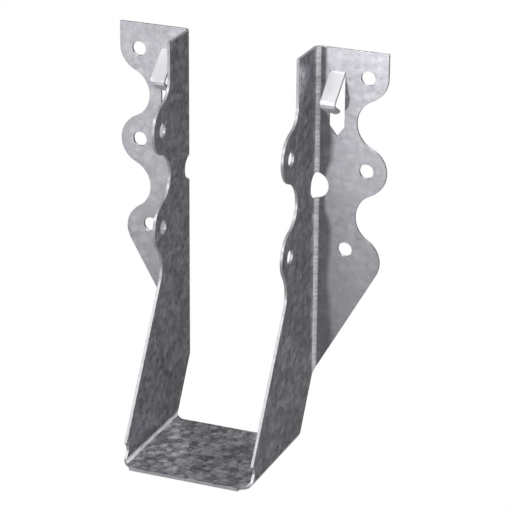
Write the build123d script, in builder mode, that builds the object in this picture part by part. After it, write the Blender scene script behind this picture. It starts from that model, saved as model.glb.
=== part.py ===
from build123d import *
from math import cos, pi, radians, sin, sqrt, tan
import os

# A face-mount joist hanger folded from one galvanised steel sheet: a seat under
# the joist, a wall up each side of it, and a header flange turned outward from
# the rear of each wall. Millimetres, one solid.
#
# X runs across the joist, Y from the joist toward the header, Z up.
# y = 0 is the header's face, z = 0 the underside of the seat and x = 0 the
# middle of the joist. "Ahead" is a distance in front of the header's face, -Y,
# and "below top" is one down from the top edge of the walls and flanges.

# The sheet, and the inside radius of its bends
sheet = 0.9
header_bend_inner = 1.25
seat_fold_inner = 0.9

# Overall
joist_width = 39.7
height = 121.5
flange_width = 22.95
seat_front = 51.8

# Nail holes, and the round lobe of sheet around each one
nail_diameter = 4.4
lobe_radius = 8.0

# Header flange: three lobes down its edge, each with how far in from the edge and
# how far below the top its middle is, and the hollows between them
upper_lobe_inset = 8.0
top_lobe_below_top = 7.5
middle_lobe_below_top = 36.8
bottom_lobe_inset = 9.65
bottom_lobe_below_top = 65.25
upper_throat = 1.55
lower_throat = 0.7
flange_slant = 29.6

# Flange nails, out and up from the middle of their lobe. The lowest isn't at the
# same place on the two sides.
upper_nail_out = 1.75
top_nail_up = -0.5
middle_nail_up = 0.2
right_low_nail = (-2.9, 3.1)
left_low_nail = (0.15, 1.4)

# Wall, measured ahead and up. The right wall's lobes are lower than the left's,
# so that nails from the two sides pass each other inside the joist.
wall_lobe_ahead = 18.85
wall_edge_ahead = 15.35
wall_nail_off_lobe = 1.9
upper_wall_nail_below_top = 25.3
wall_nail_spacing = 30.3
shoulder_drop = 14.25
right_wall_drop = 3.15
brace_hollow_radius = 9.5
brace_slant = 30.7
brace_foot_overhang = 0.24
rear_slant = 30.0
rear_foot_ahead = 11.7

# Relief notch low on the front edge of each wall. From its floor one slanted cut
# runs down the wall, round the seat fold and over the seat's corner, to a small
# step at each end of the seat's front edge.
notch_tip_height = 6.65
notch_floor_behind_front = 5.2
notch_floor_height = 3.7
notch_fillet = 0.8
corner_cut_slant = 37.5
seat_front_inset = 2.35

# Rear edge of the seat, ahead of the foot of the walls' rear edges
seat_rear_step = 2.8
rear_corner_fillet = 1.8

# Round hole punched on the line of the header bend before folding
bend_hole_diameter = 8.2
bend_hole_below_top = 43.0

# Prong lanced from the flange: a strip turned out, then back to a point. Its lean
# and dip are from the vertical and from the horizontal.
slot_out_from_wall = 4.7
slot_width = 4.85
slot_below_top = 7.05
slot_length = 19.95
slot_point_length = 3.1
lance_gap = 0.1
prong_bend_inner = 0.6
prong_lean = 49.5
prong_dip = 30.0
prong_leg = 9.7

# Steps round each bend at which a slanted cut or a punched hole is worked out
bend_stations = 5

# Worked out from the above
header_bend_outer = header_bend_inner + sheet
seat_fold_outer = seat_fold_inner + sheet
header_bend_length = (header_bend_inner + sheet / 2) * pi / 2
seat_fold_length = (seat_fold_inner + sheet / 2) * pi / 2
wall_inner = joist_width / 2
flange_root = wall_inner + header_bend_outer
flange_edge = wall_inner + flange_width
seat_root = wall_inner - seat_fold_inner
seat_rear = rear_foot_ahead + seat_rear_step
nail_radius = nail_diameter / 2
bend_hole_radius = bend_hole_diameter / 2
bend_hole_height = height - bend_hole_below_top
upper_wall_nail = height - upper_wall_nail_below_top
lower_wall_nail = upper_wall_nail - wall_nail_spacing
brace_foot_ahead = seat_front + brace_foot_overhang
notch_floor_ahead = seat_front - notch_floor_behind_front

# Middles of the right flange's lobes, and its two upper nails
top_lobe = Vector(flange_edge - upper_lobe_inset, height - top_lobe_below_top)
middle_lobe = Vector(flange_edge - upper_lobe_inset, height - middle_lobe_below_top)
bottom_lobe = Vector(flange_edge - bottom_lobe_inset, height - bottom_lobe_below_top)
top_nail = top_lobe + Vector(upper_nail_out, top_nail_up)
middle_nail = middle_lobe + Vector(upper_nail_out, middle_nail_up)

# Lowest flange nails, on the right and on the left
lower_nail_right = bottom_lobe + Vector(*right_low_nail)
left_nail_mirrored = bottom_lobe + Vector(*left_low_nail)
lower_nail_left = Vector(-left_nail_mirrored.X, left_nail_mirrored.Y)

# Slot that the prong came from
slot_inner = wall_inner + slot_out_from_wall
slot_outer = slot_inner + slot_width
slot_middle = (slot_inner + slot_outer) / 2
slot_top = height - slot_below_top
slot_point = slot_top - slot_length
slot_shoulder = slot_point + slot_point_length

# The rear cut of the wall crosses the header bend to meet the flange's slant, and
# crosses the seat fold and the seat's corner at 45 degrees
rear_cut_top = (rear_foot_ahead - header_bend_outer) / tan(radians(rear_slant))
rear_cut_ahead = rear_foot_ahead - seat_fold_outer * tan(radians(rear_slant))
corner_cut_run = tan(radians(corner_cut_slant))
front_cut_ahead = notch_floor_ahead + (notch_floor_height - seat_fold_outer) * corner_cut_run
slant_normal = Vector(cos(radians(flange_slant)), -sin(radians(flange_slant)))
slant_start = bottom_lobe + slant_normal * lobe_radius
flange_low = slant_start.Y - (slant_start.X - flange_root) / tan(radians(flange_slant))

# Planes: a flange is drawn as X and Z, a wall as ahead and up. Each bend's
# plane has its Z along the bend line, X toward the plate and Y toward the wall.
header_bend_plane = Plane(
    origin=(flange_root, -header_bend_outer, 0), x_dir=(0, 1, 0), z_dir=(0, 0, 1)
)
seat_fold_plane = Plane(origin=(seat_root, 0, seat_fold_outer), x_dir=(0, 0, -1), z_dir=(0, -1, 0))


def hollow(upper, lower, throat):
    """Centre and radius of the hollow that touches two lobes and comes to
    within throat of the line between their centres, on the inner side."""
    half = (upper - lower).length / 2
    radius = (half**2 + throat**2 - lobe_radius**2) / (2 * (lobe_radius + throat))
    outward = (upper - lower).normalized().cross(Vector(0, 0, 1))
    return (upper + lower) / 2 + outward * (radius - throat), radius


def scalloped_edge(start, circles, end):
    """Arcs from start to end along a chain of circles, each touching the next."""
    joints = [start]
    for (near, near_radius), (far, far_radius) in zip(circles, circles[1:]):
        joints.append(near + (far - near) * (near_radius / (near_radius + far_radius)))
    joints.append(end)
    for (centre, radius), first, last in zip(circles, joints, joints[1:]):
        toward_middle = (first - centre) + (last - centre)
        ThreePointArc(first, centre + toward_middle.normalized() * radius, last)


def bend_ring(inner_radius):
    """Section of a bend, a quarter of a ring from the plate round to the wall."""
    outer = CenterArc((0, 0), inner_radius + sheet, 0, 90)
    inner = CenterArc((0, 0), inner_radius, 0, 90)
    Line(outer @ 0, inner @ 0)
    Line(outer @ 1, inner @ 1)


def bend_block(plane, inner_radius, spans):
    """Block wrapped round a bend, thick enough to pass both faces of the sheet.
    spans gives its low and high end along the bend line, at even turns from the
    plate to the wall."""
    with BuildPart() as block:
        for number, (low, high) in enumerate(spans):
            turn = radians(90 * number / (len(spans) - 1))
            radial = plane.x_dir * cos(turn) + plane.y_dir * sin(turn)
            station = Plane(origin=plane.origin, x_dir=radial, z_dir=radial.cross(plane.z_dir))
            with BuildSketch(station):
                with Locations((inner_radius + sheet / 2, (low + high) / 2)):
                    Rectangle(2 * sheet, high - low)
        loft(ruled=True)
    return block.part


def even_spans(plate_span, wall_span):
    """Spans that change evenly from the plate's to the wall's."""
    spans = []
    for number in range(bend_stations):
        share = number / (bend_stations - 1)
        low = plate_span[0] + (wall_span[0] - plate_span[0]) * share
        high = plate_span[1] + (wall_span[1] - plate_span[1]) * share
        spans.append((low, high))
    return spans


def hole_spans():
    """Spans of the punched hole, which is round in the flat sheet."""
    spans = []
    for number in range(bend_stations):
        off_centre = header_bend_length * (number / (bend_stations - 1) - 0.5)
        half_height = sqrt(bend_hole_radius**2 - off_centre**2)
        spans.append((bend_hole_height - half_height, bend_hole_height + half_height))
    return spans


# Right header flange, with its nail holes, its share of the punched hole and
# the slot that the prong came from
flange_circles = [
    (top_lobe, lobe_radius),
    hollow(top_lobe, middle_lobe, upper_throat),
    (middle_lobe, lobe_radius),
    hollow(middle_lobe, bottom_lobe, lower_throat),
    (bottom_lobe, lobe_radius),
]
flange_side = top_lobe + Vector(lobe_radius, 0)
bend_hole_on_flange = flange_root - header_bend_length / 2

with BuildPart() as flange:
    with BuildSketch(Plane.XZ):
        with BuildLine():
            Polyline((flange_root, flange_low), (flange_root, height), (flange_side.X, height), flange_side)
            scalloped_edge(flange_side, flange_circles, slant_start)
            Line(slant_start, (flange_root, flange_low))
        make_face()
        with Locations(top_nail, middle_nail):
            Circle(nail_radius, mode=Mode.SUBTRACT)
        with Locations((bend_hole_on_flange, bend_hole_height)):
            Circle(bend_hole_radius, mode=Mode.SUBTRACT)
        with BuildLine():
            Polyline(
                (slot_inner, slot_top),
                (slot_outer, slot_top),
                (slot_outer, slot_shoulder),
                (slot_middle, slot_point),
                (slot_inner, slot_shoulder),
                close=True,
            )
        make_face(mode=Mode.SUBTRACT)
    extrude(amount=sheet)

# Right header bend, cut on a slant at its foot
header_bend_spans = even_spans((flange_low, height), (rear_cut_top, height))
header_bend_ends = bend_block(header_bend_plane, header_bend_inner, header_bend_spans)
header_bend_hole = bend_block(header_bend_plane, header_bend_inner, hole_spans())

with BuildPart() as header_bend:
    with BuildSketch(header_bend_plane):
        with BuildLine():
            bend_ring(header_bend_inner)
        make_face()
    extrude(amount=height)
    add(header_bend_ends, mode=Mode.INTERSECT)
    add(header_bend_hole, mode=Mode.SUBTRACT)

# Right seat fold, each end cut straight in the flat sheet
seat_fold_rear = rear_cut_ahead + seat_fold_length
seat_fold_front = front_cut_ahead + seat_fold_length * corner_cut_run
seat_fold_spans = even_spans((seat_fold_rear, seat_fold_front), (rear_cut_ahead, front_cut_ahead))
seat_fold_ends = bend_block(seat_fold_plane, seat_fold_inner, seat_fold_spans)

with BuildPart() as seat_fold:
    with BuildSketch(seat_fold_plane):
        with BuildLine():
            bend_ring(seat_fold_inner)
        make_face()
    extrude(amount=seat_front)
    add(seat_fold_ends, mode=Mode.INTERSECT)

# Seat, with the same cuts running on across its corners
front_half_width = wall_inner - seat_front_inset
step_ahead = seat_fold_front + (seat_root - front_half_width) * corner_cut_run
rear_half_width = seat_root - (seat_rear - seat_fold_rear)

with BuildPart() as seat:
    with BuildSketch():
        with BuildLine():
            FilletPolyline(
                (seat_root, -seat_fold_rear),
                (rear_half_width, -seat_rear),
                (-rear_half_width, -seat_rear),
                (-seat_root, -seat_fold_rear),
                radius=rear_corner_fillet,
            )
            Polyline(
                (-seat_root, -seat_fold_rear),
                (-seat_root, -seat_fold_front),
                (-front_half_width, -step_ahead),
                (-front_half_width, -seat_front),
                (front_half_width, -seat_front),
                (front_half_width, -step_ahead),
                (seat_root, -seat_fold_front),
                (seat_root, -seat_fold_rear),
            )
        make_face()
    extrude(amount=sheet)


def wall(side, drop):
    """Wall at one side, 1 for the right and -1 for the left, its lobes lowered by drop."""
    upper_lobe = Vector(wall_lobe_ahead, upper_wall_nail - drop)
    lower_lobe = Vector(wall_lobe_ahead, lower_wall_nail - drop)
    throat = wall_lobe_ahead - wall_edge_ahead

    # Shoulder, between the straight front edge and the upper lobe
    shoulder_start = Vector(wall_edge_ahead, upper_lobe.Y + shoulder_drop)
    shoulder_radius = (shoulder_drop**2 + throat**2 - lobe_radius**2) / (2 * (throat + lobe_radius))
    shoulder = shoulder_start + Vector(shoulder_radius, 0)

    # Brace, the straight slanted edge down to the seat's front corner, and the
    # hollow between it and the lower lobe, which touches both
    down_brace = Vector(sin(radians(brace_slant)), -cos(radians(brace_slant)))
    off_brace = Vector(cos(radians(brace_slant)), sin(radians(brace_slant)))
    brace_foot = Vector(brace_foot_ahead, 0)
    lobe_along = (lower_lobe - brace_foot).dot(down_brace)
    lobe_off = (lower_lobe - brace_foot).dot(off_brace)
    lobe_to_hollow = lobe_radius + brace_hollow_radius
    hollow_along = lobe_along + sqrt(lobe_to_hollow**2 - (brace_hollow_radius - lobe_off) ** 2)
    brace_start = brace_foot + down_brace * hollow_along
    brace_hollow = brace_start + off_brace * brace_hollow_radius

    circles = [
        (shoulder, shoulder_radius),
        (upper_lobe, lobe_radius),
        hollow(upper_lobe, lower_lobe, throat),
        (lower_lobe, lobe_radius),
        (brace_hollow, brace_hollow_radius),
    ]
    notch_tip_ahead = brace_foot_ahead - notch_tip_height * tan(radians(brace_slant))
    notch_depth = notch_tip_ahead - notch_floor_ahead
    nails = [upper_lobe + Vector(wall_nail_off_lobe, 0), lower_lobe + Vector(wall_nail_off_lobe, 0)]

    inner_face = Plane(origin=(side * wall_inner, 0, 0), x_dir=(0, -1, 0), z_dir=(-1, 0, 0))
    with BuildPart() as plate:
        with BuildSketch(inner_face):
            with BuildLine():
                Line((wall_edge_ahead, height), shoulder_start)
                scalloped_edge(shoulder_start, circles, brace_start)
                Line(brace_start, (notch_tip_ahead, notch_tip_height))
                FilletPolyline(
                    (notch_tip_ahead, notch_tip_height),
                    (notch_floor_ahead, notch_tip_height - notch_depth),
                    (notch_floor_ahead, notch_floor_height),
                    (front_cut_ahead, seat_fold_outer),
                    radius=notch_fillet,
                )
                Polyline(
                    (front_cut_ahead, seat_fold_outer),
                    (rear_cut_ahead, seat_fold_outer),
                    (header_bend_outer, rear_cut_top),
                    (header_bend_outer, height),
                    (wall_edge_ahead, height),
                )
            make_face()
            with Locations(*nails):
                Circle(nail_radius, mode=Mode.SUBTRACT)
            with Locations((header_bend_outer - header_bend_length / 2, bend_hole_height)):
                Circle(bend_hole_radius, mode=Mode.SUBTRACT)
        extrude(amount=-side * sheet)
    return plate.part


left_wall = wall(-1, 0)
right_wall = wall(1, right_wall_drop)

# Right prong: the strip's middle line in Y and Z, down from inside the flange,
# out along the first leg and back along the second. The second leg is what is
# left of the slot's length, and the slot's point is the strip's.
strip_radius = prong_bend_inner + sheet / 2
strip_half_width = slot_width / 2 - lance_gap
knee_turn = 90 + prong_lean - prong_dip
hinge_tangent = strip_radius * tan(radians(prong_lean / 2))
knee_tangent = strip_radius * tan(radians(knee_turn / 2))
bends_length = strip_radius * radians(prong_lean + knee_turn)
second_leg = slot_length - bends_length - prong_leg

outward = Vector(-sin(radians(prong_lean)), -cos(radians(prong_lean)))
backward = Vector(cos(radians(prong_dip)), -sin(radians(prong_dip)))
root = Vector(-sheet / 2, slot_top + sheet)
hinge = Vector(-sheet / 2, slot_top - hinge_tangent)
knee = hinge + outward * (hinge_tangent + prong_leg + knee_tangent)
point = knee + backward * (knee_tangent + second_leg)
second_leg_plane = Plane(
    origin=(slot_middle, point.X, point.Y),
    x_dir=(1, 0, 0),
    z_dir=(0, -sin(radians(prong_dip)), -cos(radians(prong_dip))),
)

with BuildPart() as prong:
    with BuildSketch(Plane.YZ.offset(slot_middle)):
        with BuildLine():
            FilletPolyline(root, hinge, knee, point, radius=strip_radius)
        trace(line_width=sheet)
    extrude(amount=strip_half_width, both=True)
    with BuildSketch(second_leg_plane):
        with BuildLine():
            Polyline(
                (0, 0),
                (strip_half_width, slot_point_length),
                (strip_half_width + sheet, slot_point_length),
                (strip_half_width + sheet, -sheet),
                (0, -sheet),
                close=True,
            )
        make_face()
        mirror(about=Plane.YZ)
    extrude(amount=sheet, both=True, mode=Mode.SUBTRACT)

# The whole folded sheet
with BuildPart() as hanger:
    add(seat.part)
    for zone in (flange.part, header_bend.part, seat_fold.part, prong.part):
        add(zone)
        mirror(zone, about=Plane.YZ)
    add(left_wall)
    add(right_wall)
    with BuildSketch(Plane.XZ):
        with Locations(lower_nail_right, lower_nail_left):
            Circle(nail_radius)
    extrude(amount=sheet, mode=Mode.SUBTRACT)

hanger.part.label = "joist_hanger"
os.makedirs("parts", exist_ok=True)
export_step(hanger.part, "parts/joist_hanger.step")
print("solids", len(hanger.part.solids()), "volume", round(hanger.part.volume, 1), "mm3")
print("box", hanger.part.bounding_box())
print("centre of mass", hanger.part.center(CenterOf.MASS))
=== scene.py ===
"""Finish and studio for a galvanised joist hanger. Metres; X across the joist, Y to the header, Z up."""

from math import cos, radians, sin

import bmesh
import bpy
from mathutils import Matrix, Vector


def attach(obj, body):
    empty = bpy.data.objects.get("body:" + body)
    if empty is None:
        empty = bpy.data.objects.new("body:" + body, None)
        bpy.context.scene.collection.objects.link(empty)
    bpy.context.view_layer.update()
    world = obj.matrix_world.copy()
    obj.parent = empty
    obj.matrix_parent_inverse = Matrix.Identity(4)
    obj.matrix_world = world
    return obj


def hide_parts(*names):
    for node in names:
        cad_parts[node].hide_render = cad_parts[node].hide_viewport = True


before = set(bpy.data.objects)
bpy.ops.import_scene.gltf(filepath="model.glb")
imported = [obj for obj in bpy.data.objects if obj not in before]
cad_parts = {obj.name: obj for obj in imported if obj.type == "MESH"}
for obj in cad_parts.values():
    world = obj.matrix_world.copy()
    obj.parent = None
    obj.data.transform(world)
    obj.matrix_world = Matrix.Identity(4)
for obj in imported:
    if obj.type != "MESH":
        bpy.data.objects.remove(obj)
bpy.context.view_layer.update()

bl_info = {
    "name": "Joist hanger",
    "version": (1, 0, 0),
    "blender": (4, 5, 0),
    "location": "View3D > Sidebar > Joist hanger",
    "description": "Galvanised finish, studio and camera for a folded joist hanger",
    "category": "Object",
}

MM = 0.001
HANGER = "joist_hanger"

# Places of the sheet's kinds of surface in its list of materials
ZINC, BEND, CUT, PRONG = range(4)
# Faces that meet at more than this are parted by a cut edge, which the die leaves rounded
SHARP = radians(35)
# Facets that meet at less than this are one flat
FLAT = radians(0.3)
# A skin face that is further than this from facing along an axis belongs to a bend
SQUARE = radians(9)
# A prong's flat leans both forward and down, and is larger than a facet of a prong's bend
LEAN = 0.01
PRONG_FLAT = 3 * MM * MM
WELD = 0.001 * MM

# Values that most of a noise texture lies between
NOISE_LOW, NOISE_HIGH = 0.3, 0.7
# Length of a ridge or a mark on the zinc, as a number of spacings
RIDGE_LENGTH = 6
# Power of a face's upward lean that leaves only the level faces
LEVEL_ONLY = 8.0

LAMP_AIM = Vector((0, 0, 80 * MM))
SENSOR_WIDTH = 36
FLOOR_WIDTH = 6
PAPER = "#8c8c8c"
WHITE = "#ffffff"


def linear(hex_colour):
    """Linear RGBA of an sRGB colour written as a hex string."""
    channels = [int(hex_colour[i:i + 2], 16) / 255 for i in (1, 3, 5)]
    return [c / 12.92 if c <= 0.04045 else ((c + 0.055) / 1.055) ** 2.4 for c in channels] + [1.0]


def add_node(tree, kind, inputs=None, **settings):
    """Node with its settings, and each input given as a value or as the socket that feeds it."""
    made = tree.nodes.new(kind)
    for name, value in settings.items():
        setattr(made, name, value)
    for socket, source in (inputs or {}).items():
        if isinstance(source, bpy.types.NodeSocket):
            tree.links.new(source, made.inputs[socket])
        else:
            made.inputs[socket].default_value = source
    return made


def new_material(name):
    """Material with an empty node tree, and that tree."""
    material = bpy.data.materials.new(name)
    material.use_nodes = True
    material.node_tree.nodes.clear()
    return material, material.node_tree


def blend(tree, share, dark, light):
    """Colour between two sRGB hex colours, by a share from 0 to 1."""
    return add_node(tree, "ShaderNodeMix", {0: share, 6: linear(dark), 7: linear(light)},
                    data_type="RGBA").outputs[2]


def give_surface(tree, inputs):
    """Principled shader with these inputs as the material's surface."""
    shader = add_node(tree, "ShaderNodeBsdfPrincipled", inputs)
    add_node(tree, "ShaderNodeOutputMaterial", {"Surface": shader.outputs[0]})


def streaks(tree, scale):
    """Noise drawn out along each axis whose scale is small."""
    place = add_node(tree, "ShaderNodeTexCoord").outputs["Object"]
    drawn = add_node(tree, "ShaderNodeMapping", {"Vector": place, "Scale": scale}).outputs[0]
    noise = add_node(tree, "ShaderNodeTexNoise", {"Vector": drawn, "Scale": 1.0, "Detail": 2.0})
    return noise.outputs["Fac"]


def zinc_crystals(tree, look):
    """Crystals that zinc freezes into: their greys, about 0.5, each blurred into its neighbours with fine
    clouds and a few dark specks over them, and the distance from a crystal's middle, for its low dome."""
    place = add_node(tree, "ShaderNodeTexCoord").outputs["Object"]
    clouds = add_node(tree, "ShaderNodeTexNoise",
                      {"Vector": place, "Scale": 1 / look.cloud, "Detail": 4.0, "Roughness": 0.6})
    pushed = add_node(tree, "ShaderNodeVectorMath",
                      {0: clouds.outputs["Color"], 1: [look.cloud] * 3, 2: place}, operation="MULTIPLY_ADD")
    crystals = add_node(tree, "ShaderNodeTexVoronoi",
                        {"Vector": pushed.outputs[0], "Scale": 1 / look.crystal, "Smoothness": look.blur},
                        feature="SMOOTH_F1")
    shading = add_node(tree, "ShaderNodeMapRange",
                       {"Value": crystals.outputs["Distance"], "From Min": 0.1, "From Max": 0.6,
                        "To Min": look.middle, "To Max": look.rim})
    greys = add_node(tree, "ShaderNodeMath", {0: shading.outputs[0], 1: crystals.outputs["Color"]},
                     operation="MULTIPLY")
    spread = add_node(tree, "ShaderNodeMapRange",
                      {"Value": clouds.outputs["Fac"], "From Min": NOISE_LOW, "From Max": NOISE_HIGH})
    clouded = add_node(tree, "ShaderNodeMix", {0: 0.5, 2: greys.outputs[0], 3: spread.outputs[0]})
    pits = add_node(tree, "ShaderNodeTexNoise", {"Vector": place, "Scale": 1 / look.speck, "Detail": 1.0})
    specks = add_node(tree, "ShaderNodeMapRange",
                      {"Value": pits.outputs["Fac"], "From Min": 0.58, "From Max": 0.68,
                       "To Max": look.speck_depth})
    speckled = add_node(tree, "ShaderNodeMath", {0: clouded.outputs[0], 1: specks.outputs[0]},
                        operation="SUBTRACT")
    return speckled.outputs[0], crystals.outputs["Distance"]


def contrast(tree, look):
    """How much of the crystals shows: most on the level seat, less on the walls, least on the flanges."""
    facing = add_node(tree, "ShaderNodeNewGeometry").outputs["True Normal"]
    across, _, up = add_node(tree, "ShaderNodeSeparateXYZ", {0: facing}).outputs
    sideways = add_node(tree, "ShaderNodeMath", {0: across}, operation="ABSOLUTE").outputs[0]
    level = add_node(tree, "ShaderNodeMath", {0: up, 1: LEVEL_ONLY}, operation="POWER").outputs[0]
    shown = add_node(tree, "ShaderNodeMath", {0: level, 1: look.seat_contrast, 2: look.flange_contrast},
                     operation="MULTIPLY_ADD").outputs[0]
    return add_node(tree, "ShaderNodeMath", {0: sideways, 1: look.wall_contrast, 2: shown},
                    operation="MULTIPLY_ADD").outputs[0]


def galvanised_sheet(look):
    """Hot-dip galvanised steel sheet: cold-rolled steel with a zinc skin. A dull grey metal, mottled
    by the crystals that the zinc froze into."""
    material, tree = new_material("galvanised_steel_sheet")
    pattern, from_middle = zinc_crystals(tree, look)
    centred = add_node(tree, "ShaderNodeMath", {0: pattern, 1: 0.5}, operation="SUBTRACT").outputs[0]
    grey = add_node(tree, "ShaderNodeMath", {0: centred, 1: contrast(tree, look), 2: 0.5},
                    operation="MULTIPLY_ADD", use_clamp=True).outputs[0]
    dull = add_node(tree, "ShaderNodeMapRange",
                    {"Value": pattern, "From Min": 0.2, "From Max": 0.8,
                     "To Min": look.roughness + look.roughness_spread,
                     "To Max": look.roughness - look.roughness_spread})
    domes = add_node(tree, "ShaderNodeBump", {"Height": from_middle, "Distance": look.dome, "Strength": 1.0},
                     invert=True)
    give_surface(tree, {"Base Color": blend(tree, grey, look.dark, look.light), "Metallic": 1.0,
                        "Roughness": dull.outputs[0], "Normal": domes.outputs[0]})
    return material


def bend_zinc_and_painted_highlight(look):
    """Zinc skin where the sheet was bent: it crazes and goes dull, and the die leaves fine ridges across the
    bend.
    Its pale, nearly white colour is painted highlight, standing in for the bright band of light along each
    bend."""
    material, tree = new_material("stretched_zinc_and_painted_highlight")
    along = 1 / (RIDGE_LENGTH * look.ridge)
    ridges = add_node(tree, "ShaderNodeMapRange",
                      {"Value": streaks(tree, [along, along, 1 / look.ridge]), "From Min": 0.35,
                       "From Max": 0.65})
    # The pale colours and the low metal paint a bright highlight band along the bend; the zinc's dullness
    # there is real.
    give_surface(tree, {"Base Color": blend(tree, ridges.outputs[0], look.bend_dark, look.bend_light),
                        "Metallic": look.bend_metal, "Roughness": look.bend_roughness})
    return material


def sheared_edge(look):
    """Edge of the sheet as the die cut it: bare steel, torn and matt in part, and bright where the punch
    rubbed it."""
    material, tree = new_material("sheared_steel_edge")
    place = add_node(tree, "ShaderNodeTexCoord").outputs["Object"]
    rubbed = add_node(tree, "ShaderNodeTexNoise", {"Vector": place, "Scale": 1 / look.cloud, "Detail": 3.0})
    give_surface(tree, {"Base Color": blend(tree, rubbed.outputs["Fac"], look.edge_dark, look.edge_light),
                        "Metallic": look.edge_metal, "Roughness": look.edge_roughness})
    return material


def prong_zinc_and_painted_highlight(look):
    """Zinc skin of the prongs, which the punch rubbed as it lanced and folded them: matt and more even than
    the sheet, with faint marks down their length. Their pale colour is painted highlight, standing in for the
    even bright light along each leg."""
    material, tree = new_material("rubbed_zinc_and_painted_highlight")
    along = 1 / (RIDGE_LENGTH * look.ridge)
    marks = streaks(tree, [1 / look.ridge, along, along])
    # The pale colours and the low metal paint the prong's even bright highlight; the punch's marks are real.
    give_surface(tree, {"Base Color": blend(tree, marks, look.prong_dark, look.prong_light),
                        "Metallic": look.prong_metal, "Roughness": look.prong_roughness})
    return material


def regions_between_sharp_edges(shape, sharp):
    """Groups of faces that no sharp edge divides."""
    left = set(shape.faces)
    groups = []
    while left:
        reached = [left.pop()]
        for face in reached:
            for edge in face.edges:
                if edge not in sharp:
                    for other in edge.link_faces:
                        if other in left:
                            left.remove(other)
                            reached.append(other)
        groups.append(reached)
    return groups


def kind_of_surface(face, skins):
    """Place, in the sheet's list of materials, of a face's kind of surface."""
    normal = face.normal
    if face not in skins:
        return CUT
    if abs(normal.y * normal.z) > LEAN and face.calc_area() > PRONG_FLAT:
        return PRONG
    if max(abs(part) for part in normal) < cos(SQUARE):
        return BEND
    return ZINC


def folded_sheet():
    """The hanger's own mesh, merged, with each flat as one face, its kinds of surface told apart and its
    cut edges marked sharp. The sheet's two skins are the largest regions between those edges."""
    mesh = bpy.data.meshes.new("folded_sheet")
    shape = bmesh.new()
    shape.from_mesh(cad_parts[HANGER].data)
    bmesh.ops.remove_doubles(shape, verts=shape.verts, dist=WELD)
    bmesh.ops.dissolve_limit(shape, angle_limit=FLAT, verts=shape.verts, edges=shape.edges)
    sharp = {edge for edge in shape.edges if edge.calc_face_angle(0) > SHARP}
    regions = regions_between_sharp_edges(shape, sharp)
    regions.sort(key=lambda faces: sum(face.calc_area() for face in faces))
    skins = {face for faces in regions[-2:] for face in faces}
    for face in shape.faces:
        face.smooth = True
        face.material_index = kind_of_surface(face, skins)
    for edge in sharp:
        edge.smooth = False
    shape.to_mesh(mesh)
    shape.free()
    return mesh


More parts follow.
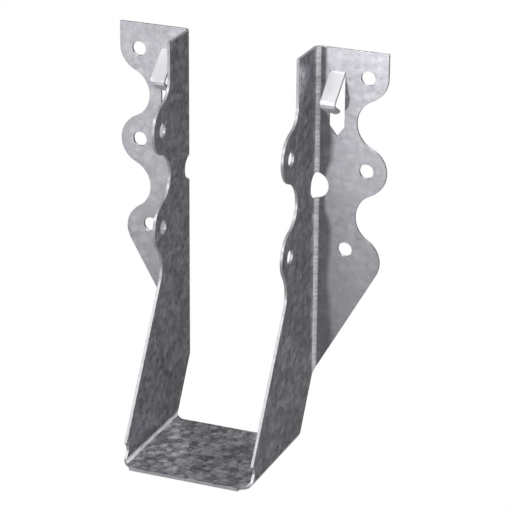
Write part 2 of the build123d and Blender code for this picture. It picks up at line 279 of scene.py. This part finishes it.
class HangerFinish(bpy.types.PropertyGroup):
    """Look of the zinc-coated sheet."""

    dark: bpy.props.StringProperty(
        name="Dark zinc", description="Colour of the darkest crystals, as sRGB hex", default="#7f7e86")
    light: bpy.props.StringProperty(
        name="Light zinc", description="Colour of the lightest crystals, as sRGB hex", default="#f3f2f8")
    roughness: bpy.props.FloatProperty(
        name="Roughness", description="How dull the zinc is", default=0.36, min=0, max=1)
    roughness_spread: bpy.props.FloatProperty(
        name="Roughness spread", description="How much duller the dark crystals are, and less the light",
        default=0.03)
    crystal: bpy.props.FloatProperty(
        name="Crystal", description="Width of a zinc crystal", default=2.2 * MM, unit="LENGTH")
    cloud: bpy.props.FloatProperty(
        name="Cloud", description="Width of the finer clouds over the crystals", default=1.5 * MM,
        unit="LENGTH")
    speck: bpy.props.FloatProperty(
        name="Speck", description="Spacing of the dark specks", default=1.5 * MM, unit="LENGTH")
    blur: bpy.props.FloatProperty(
        name="Blur", description="How far neighbouring crystals run into each other", default=0.45,
        min=0, max=1)
    middle: bpy.props.FloatProperty(
        name="Middle", description="Brightness of a crystal at its middle", default=1.4)
    rim: bpy.props.FloatProperty(
        name="Rim", description="Brightness of a crystal at its rim", default=0.9)
    speck_depth: bpy.props.FloatProperty(
        name="Speck depth", description="How much darker a speck is, as a share of the crystals' greys",
        default=0.25)
    seat_contrast: bpy.props.FloatProperty(
        name="Seat contrast", description="How much more the crystals show on the seat than on the flanges",
        default=1.7)
    wall_contrast: bpy.props.FloatProperty(
        name="Wall contrast", description="How much more the crystals show on the walls than on the flanges",
        default=0.6)
    flange_contrast: bpy.props.FloatProperty(
        name="Flange contrast", description="How much the crystals show on the flanges", default=0.55)
    dome: bpy.props.FloatProperty(
        name="Dome", description="Height of a zinc crystal's low dome", default=0.01 * MM, unit="LENGTH")
    # At a bend, the pale colours and the low metal paint a highlight band, on top of the stretched zinc's
    # real dullness.
    bend_dark: bpy.props.StringProperty(
        name="Dark at a bend", description="Colour between the ridges, as sRGB hex", default="#ccccd0")
    bend_light: bpy.props.StringProperty(
        name="Light at a bend", description="Colour of the ridges, as sRGB hex", default="#f4f4f8")
    bend_roughness: bpy.props.FloatProperty(
        name="Roughness at a bend", description="How dull the stretched zinc is", default=0.62, min=0, max=1)
    bend_metal: bpy.props.FloatProperty(
        name="Metal at a bend", description="Share of the crazed zinc that still mirrors as metal",
        default=0.1, min=0, max=1)
    ridge: bpy.props.FloatProperty(
        name="Ridge", description="Spacing of the die's ridges across a bend", default=0.7 * MM,
        unit="LENGTH")
    # On a prong, the pale colours and the low metal paint an even highlight, on top of the punch's real
    # rubbing.
    prong_dark: bpy.props.StringProperty(
        name="Dark on a prong", description="Colour of a prong's darker marks, as sRGB hex",
        default="#d0d0d3")
    prong_light: bpy.props.StringProperty(
        name="Light on a prong", description="Colour of a prong's lighter marks, as sRGB hex",
        default="#e2e2e5")
    prong_metal: bpy.props.FloatProperty(
        name="Metal of a prong", description="Share of the rubbed zinc that still mirrors as metal",
        default=0.25, min=0, max=1)
    prong_roughness: bpy.props.FloatProperty(
        name="Roughness of a prong", description="How dull the rubbed zinc is", default=0.55, min=0, max=1)
    edge_dark: bpy.props.StringProperty(
        name="Dark cut steel", description="Colour of the torn part of a cut edge, as sRGB hex",
        default="#8e8e92")
    edge_light: bpy.props.StringProperty(
        name="Bright cut steel", description="Colour of the rubbed part of a cut edge, as sRGB hex",
        default="#c4c4c8")
    edge_metal: bpy.props.FloatProperty(
        name="Metal of a cut edge", description="Share of the cut steel that mirrors, the rest being torn",
        default=0.4, min=0, max=1)
    edge_roughness: bpy.props.FloatProperty(
        name="Edge roughness", description="How dull the cut steel is", default=0.38, min=0, max=1)
    edge_radius: bpy.props.FloatProperty(
        name="Edge radius", description="Rounding that the die leaves along a cut edge", default=0.08 * MM,
        unit="LENGTH")


class HangerStudio(bpy.types.PropertyGroup):
    """Camera and lights."""

    camera_azimuth: bpy.props.FloatProperty(
        name="Azimuth", description="Turn of the camera to the right of the joist's line",
        default=radians(22.477), subtype="ANGLE")
    camera_elevation: bpy.props.FloatProperty(
        name="Elevation", description="Height of the camera above the level, as an angle",
        default=radians(21.754), subtype="ANGLE")
    camera_roll: bpy.props.FloatProperty(
        name="Roll", description="Turn of the camera about its own line", default=radians(0.368),
        subtype="ANGLE")
    camera_distance: bpy.props.FloatProperty(
        name="Distance", description="From the aim to the camera", default=779.9 * MM, unit="LENGTH")
    aim: bpy.props.FloatVectorProperty(
        name="Aim", description="Point that the camera is squared up to", default=(0, -20 * MM, 62 * MM),
        subtype="TRANSLATION")
    camera_slide: bpy.props.FloatVectorProperty(
        name="Slide", description="Camera's slide off the aim, to its right and up", size=2,
        default=(8.87 * MM, -2.34 * MM), subtype="TRANSLATION")
    lens: bpy.props.FloatProperty(
        name="Lens", description="Focal length in millimetres on a 36 mm sensor", default=185.77)
    pool: bpy.props.FloatProperty(
        name="Pool", description="Share of the floor's white that the metal mirrors, at its brightest",
        default=0.56, min=0, max=1)
    pool_left: bpy.props.FloatProperty(
        name="Pool direction", description="Way to the brightest floor, to the left of the joist's line",
        default=radians(80), subtype="ANGLE")
    pool_start: bpy.props.FloatProperty(
        name="Pool start", description="Where the floor's white starts, that way from the hanger", default=0,
        unit="LENGTH")
    pool_end: bpy.props.FloatProperty(
        name="Pool end", description="Where the floor's white is full, that way from the hanger",
        default=215 * MM, unit="LENGTH")
    surround: bpy.props.FloatProperty(
        name="Surround", description="Share of the white background that the metal mirrors", default=0.004)


# Lamps: name, turn to the left of the joist's line and height as angles in degrees, distance and
# width in metres, power in watts
LAMPS = (
    ("key_light", 9.2, 3.0, 0.75, 0.05, 1.9),
    ("edge_light", 28.0, 36.0, 0.9, 0.3, 2.6),
    ("right_light", -84.0, 8.0, 0.9, 0.45, 2.4),
    ("front_top_light", -34.0, 61.0, 0.9, 0.9, 5.7),
    ("left_top_light", 90.0, 70.0, 0.9, 0.9, 0.9),
    ("back_light", 180.0, 25.0, 0.9, 0.45, 2.1),
)


class HANGER_OT_sheet(bpy.types.Operator):
    """Make the folded sheet with rounded cut edges and its galvanised finish"""

    bl_idname = "hanger.sheet"
    bl_label = "Folded sheet"

    def execute(self, context):
        look = context.scene.hanger_finish
        sheet = bpy.data.objects.new("folded_sheet", folded_sheet())
        context.scene.collection.objects.link(sheet)
        surfaces = {ZINC: galvanised_sheet, BEND: bend_zinc_and_painted_highlight, CUT: sheared_edge, PRONG: prong_zinc_and_painted_highlight}
        for kind in sorted(surfaces):
            sheet.data.materials.append(surfaces[kind](look))
        rounding = sheet.modifiers.new("cut_edges", "BEVEL")
        rounding.limit_method = "ANGLE"
        rounding.angle_limit = SHARP
        rounding.width = look.edge_radius
        rounding.segments = 2
        rounding.use_clamp_overlap = False
        rounding.harden_normals = True
        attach(sheet, "root")
        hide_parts(HANGER)
        return {"FINISHED"}


class HANGER_OT_stage(bpy.types.Operator):
    """Set up the floor, the lights and the camera"""

    bl_idname = "hanger.stage"
    bl_label = "Studio"

    def execute(self, context):
        studio = context.scene.hanger_studio
        self.make_world(context, studio)
        self.make_floor(context, studio)
        for lamp in LAMPS:
            self.make_lamp(context, *lamp)
        self.make_camera(context, studio)
        context.scene.view_settings.view_transform = "Standard"
        return {"FINISHED"}

    def make_world(self, context, studio):
        """White background, of which the metal mirrors only a share."""
        world = bpy.data.worlds.new("studio")
        context.scene.world = world
        world.use_nodes = True
        tree = world.node_tree
        tree.nodes.clear()
        ray = add_node(tree, "ShaderNodeLightPath")
        mirrored = add_node(tree, "ShaderNodeMath", {0: ray.outputs["Is Glossy Ray"], 1: studio.surround},
                            operation="MULTIPLY")
        strength = add_node(tree, "ShaderNodeMath", {0: ray.outputs["Is Camera Ray"], 1: mirrored.outputs[0]},
                            operation="MAXIMUM")
        backdrop = add_node(tree, "ShaderNodeBackground",
                            {"Color": linear(WHITE), "Strength": strength.outputs[0]})
        add_node(tree, "ShaderNodeOutputWorld", {"Surface": backdrop.outputs[0]})

    def make_floor(self, context, studio):
        """Paper that the camera sees as white and that the metal mirrors as a pool of white."""
        bpy.ops.mesh.primitive_plane_add(size=FLOOR_WIDTH, location=(0, 0, 0))
        floor = context.object
        floor.name = "floor"
        material, tree = new_material("pale_paper_floor")
        ray = add_node(tree, "ShaderNodeLightPath")
        place = add_node(tree, "ShaderNodeTexCoord").outputs["Object"]
        ahead = Vector((-sin(studio.pool_left), -cos(studio.pool_left), 0))
        along = add_node(tree, "ShaderNodeVectorMath", {0: place, 1: ahead}, operation="DOT_PRODUCT")
        pool = add_node(tree, "ShaderNodeMapRange",
                        {"Value": along.outputs["Value"], "From Min": studio.pool_start,
                         "From Max": studio.pool_end, "To Min": 0.0, "To Max": studio.pool},
                        interpolation_type="SMOOTHSTEP")
        mirrored = add_node(tree, "ShaderNodeMath", {0: ray.outputs["Is Glossy Ray"], 1: pool.outputs[0]},
                            operation="MULTIPLY")
        share = add_node(tree, "ShaderNodeMath", {0: ray.outputs["Is Camera Ray"], 1: mirrored.outputs[0]},
                         operation="MAXIMUM")
        paper = add_node(tree, "ShaderNodeBsdfDiffuse", {"Color": linear(PAPER)})
        white = add_node(tree, "ShaderNodeEmission", {"Color": linear(WHITE), "Strength": 1.0})
        seen = add_node(tree, "ShaderNodeMixShader",
                        {0: share.outputs[0], 1: paper.outputs[0], 2: white.outputs[0]})
        add_node(tree, "ShaderNodeOutputMaterial", {"Surface": seen.outputs[0]})
        floor.data.materials.append(material)

    def make_lamp(self, context, name, left, height, distance, width, power):
        left, height = radians(left), radians(height)
        away = Vector((-sin(left) * cos(height), -cos(left) * cos(height), sin(height)))
        data = bpy.data.lights.new(name, "AREA")
        data.energy = power
        data.size = width
        lamp = bpy.data.objects.new(name, data)
        context.scene.collection.objects.link(lamp)
        lamp.location = LAMP_AIM + away * distance
        lamp.rotation_euler = away.to_track_quat("Z", "Y").to_euler()

    def make_camera(self, context, studio):
        """Camera squared up to the aim, then slid across and up, so that the view stays off-centre."""
        azimuth, elevation = studio.camera_azimuth, studio.camera_elevation
        away = Vector((sin(azimuth) * cos(elevation), -cos(azimuth) * cos(elevation), sin(elevation)))
        right = Vector((cos(azimuth), sin(azimuth), 0))
        turn = Matrix.Rotation(-studio.camera_roll, 3, "Z")
        axes = Matrix((right, away.cross(right), away)).transposed() @ turn.transposed()
        across, up = studio.camera_slide
        data = bpy.data.cameras.new("camera")
        data.lens = studio.lens
        data.sensor_width = SENSOR_WIDTH
        data.clip_start = 10 * MM
        camera = bpy.data.objects.new("camera", data)
        context.scene.collection.objects.link(camera)
        place = Vector(studio.aim) + axes @ Vector((across, up, studio.camera_distance))
        camera.matrix_world = Matrix.Translation(place) @ axes.to_4x4()
        context.scene.camera = camera


class HANGER_PT_panel(bpy.types.Panel):
    """Lists the hanger's steps"""

    bl_label = "Joist hanger"
    bl_space_type = "VIEW_3D"
    bl_region_type = "UI"
    bl_category = "Joist hanger"

    def draw(self, context):
        for step in (HANGER_OT_sheet, HANGER_OT_stage):
            self.layout.operator(step.bl_idname)


CLASSES = (HangerFinish, HangerStudio, HANGER_OT_sheet, HANGER_OT_stage, HANGER_PT_panel)


def register():
    for each in CLASSES:
        bpy.utils.register_class(each)
    bpy.types.Scene.hanger_finish = bpy.props.PointerProperty(type=HangerFinish)
    bpy.types.Scene.hanger_studio = bpy.props.PointerProperty(type=HangerStudio)


def unregister():
    del bpy.types.Scene.hanger_studio
    del bpy.types.Scene.hanger_finish
    for each in reversed(CLASSES):
        bpy.utils.unregister_class(each)


def main():
    register()
    bpy.ops.hanger.sheet()
    bpy.ops.hanger.stage()


if __name__ == "__main__":
    main()
